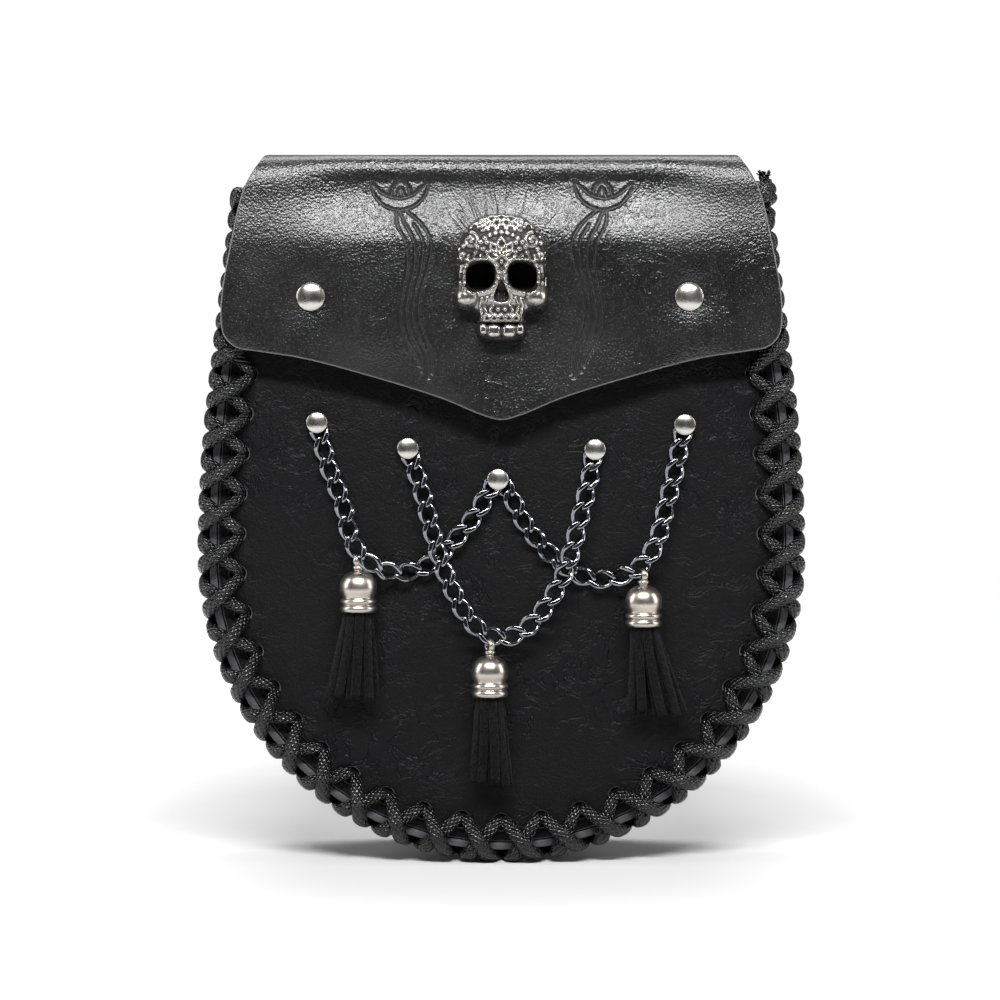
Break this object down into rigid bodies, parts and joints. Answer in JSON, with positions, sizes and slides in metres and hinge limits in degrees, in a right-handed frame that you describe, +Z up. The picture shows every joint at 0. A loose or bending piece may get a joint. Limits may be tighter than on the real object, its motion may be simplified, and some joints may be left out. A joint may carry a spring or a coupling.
{
  "type": "belt pouch",
  "caption": "Rounded leather belt pouch with a pointed flap, cross-laced edge, skull emblem, hanging chain swags and metal-capped suede tassels.",
  "frame": {"origin": "on the back panel's outer face, on the centreline, at the middle height of the belt that runs through the two loops, 50 mm below the top of the fold", "axes": "+Z up towards the fold of the flap, -Y out of the front of the pouch, +X to the right as seen from the front"},
  "size_m": [0.2094, 0.0649, 0.2449],
  "materials": {
    "front_leather": "matt faux leather, fine grain with faint creases",
    "flap_leather": "semi-gloss faux leather, fine pebble",
    "gusset_leather": "satin faux leather, plain cut edges",
    "waxed_cord": "flat braided cord, waxed",
    "antique_silver": "cast zinc alloy, silver plated, darkened in the recesses",
    "nickel": "polished nickel plate",
    "gunmetal": "bright gunmetal plate",
    "suede": "black suede"
  },
  "bodies": {
    "root": {"front_panel": "front_leather", "gusset": "gusset_leather", "back_and_flap": "flap_leather", "belt_loop_left": "gusset_leather", "belt_loop_right": "gusset_leather", "edge_lace": "waxed_cord", "skull_emblem": "antique_silver", "flap_rivet_left": "antique_silver", "flap_rivet_right": "antique_silver", "chain_rivet_1": "antique_silver", "chain_rivet_2": "antique_silver", "chain_rivet_3": "antique_silver", "chain_rivet_4": "antique_silver", "chain_rivet_5": "antique_silver", "tassel_cap_1": "nickel", "tassel_fringe_1": "suede", "tassel_cap_2": "nickel", "tassel_fringe_2": "suede", "tassel_cap_3": "nickel", "tassel_fringe_3": "suede", "chain_left_01": "gunmetal", "chain_left_02": "gunmetal", "chain_left_03": "gunmetal", "chain_left_04": "gunmetal", "chain_left_05": "gunmetal", "chain_left_06": "gunmetal", "chain_left_07": "gunmetal", "chain_left_08": "gunmetal", "chain_left_09": "gunmetal", "chain_left_10": "gunmetal", "chain_left_11": "gunmetal", "chain_left_12": "gunmetal", "chain_left_13": "gunmetal", "chain_left_14": "gunmetal", "chain_middle_01": "gunmetal", "chain_middle_02": "gunmetal", "chain_middle_03": "gunmetal", "chain_middle_04": "gunmetal", "chain_middle_05": "gunmetal", "chain_middle_06": "gunmetal", "chain_middle_07": "gunmetal", "chain_middle_08": "gunmetal", "chain_middle_09": "gunmetal", "chain_middle_10": "gunmetal", "chain_right_01": "gunmetal", "chain_right_02": "gunmetal", "chain_right_03": "gunmetal", "chain_right_04": "gunmetal", "chain_right_05": "gunmetal", "chain_right_06": "gunmetal", "chain_right_07": "gunmetal", "chain_right_08": "gunmetal", "chain_right_09": "gunmetal", "chain_right_10": "gunmetal", "chain_right_11": "gunmetal", "chain_right_12": "gunmetal", "chain_right_13": "gunmetal", "chain_right_14": "gunmetal", "chain_right_15": "gunmetal"}
  },
  "joints": []
}
